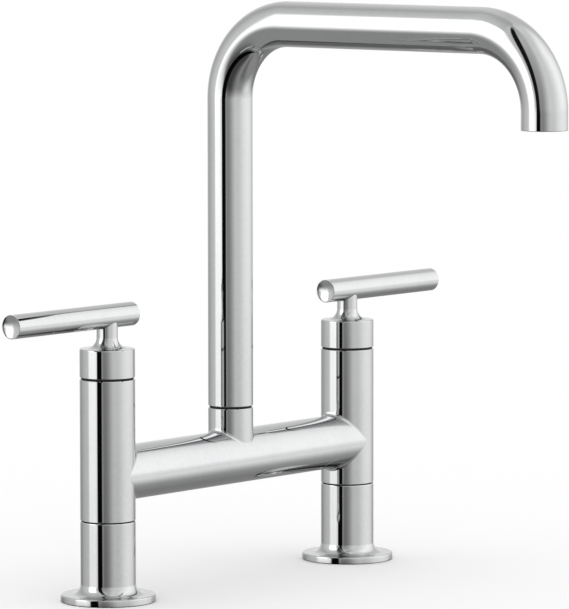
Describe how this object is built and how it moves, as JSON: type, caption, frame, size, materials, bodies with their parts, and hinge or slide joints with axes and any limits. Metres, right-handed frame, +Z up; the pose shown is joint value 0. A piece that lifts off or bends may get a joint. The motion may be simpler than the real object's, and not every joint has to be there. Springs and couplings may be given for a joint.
{
  "type": "bridge kitchen faucet",
  "caption": "Two-hole bridge kitchen faucet with a square-cornered swivel spout and straight lever handles, polished chrome.",
  "frame": {"origin": "on the deck plane, midway between the two valve columns", "axes": "+Z up along the spout's swivel axis, +X along the bridge towards the right (cold) valve, -Y towards the user"},
  "size_m": [0.3538, 0.2504, 0.3759],
  "materials": {
    "chrome": "polished chrome plate on brass, mirror bright",
    "brass": "turned brass, unplated",
    "steel": "satin stainless steel",
    "ceramic": "lapped alumina ceramic",
    "rubber": "black rubber",
    "acetal": "dark moulded acetal"
  },
  "bodies": {
    "base": {"bridge_body": "chrome", "spout_set_screw": "steel", "left_deck_base": "chrome", "left_flange_gasket": "rubber", "left_mounting_shank": "brass", "left_rubber_washer": "rubber", "left_metal_washer": "steel", "left_mounting_nut": "brass", "left_cartridge_body": "brass", "left_fixed_disc": "ceramic", "left_seat_seal": "rubber", "left_bonnet_nut": "brass", "right_deck_base": "chrome", "right_flange_gasket": "rubber", "right_mounting_shank": "brass", "right_rubber_washer": "rubber", "right_metal_washer": "steel", "right_mounting_nut": "brass", "right_cartridge_body": "brass", "right_fixed_disc": "ceramic", "right_seat_seal": "rubber", "right_bonnet_nut": "brass"},
    "left_handle": {"left_handle_hub": "chrome", "left_handle_bar": "chrome", "left_handle_set_screw": "steel", "left_handle_glide_ring": "acetal", "left_cartridge_stem": "brass", "left_rotating_disc": "ceramic", "left_stem_oring": "rubber"},
    "right_handle": {"right_handle_hub": "chrome", "right_handle_bar": "chrome", "right_handle_set_screw": "steel", "right_handle_glide_ring": "acetal", "right_cartridge_stem": "brass", "right_rotating_disc": "ceramic", "right_stem_oring": "rubber"},
    "spout": {"spout_tube": "chrome", "spout_spigot": "brass", "spout_oring_lower": "rubber", "spout_oring_upper": "rubber", "spout_glide_ring": "acetal", "aerator_housing": "acetal", "aerator_screen": "steel", "aerator_washer": "rubber"}
  },
  "joints": [
    {"name": "left_handle_turn", "type": "hinge", "parent": "base", "child": "left_handle", "pos_m": [-0.1016, 0, 0.1201], "axis": [0, 0, 1], "range_deg": [0, 90]},
    {"name": "right_handle_turn", "type": "hinge", "parent": "base", "child": "right_handle", "pos_m": [0.1016, 0, 0.1201], "axis": [0, 0, -1], "range_deg": [0, 90]},
    {"name": "spout_swivel", "type": "hinge", "parent": "base", "child": "spout", "pos_m": [0, 0, 0.0955], "axis": [0, 0, 1], "continuous": true}
  ]
}
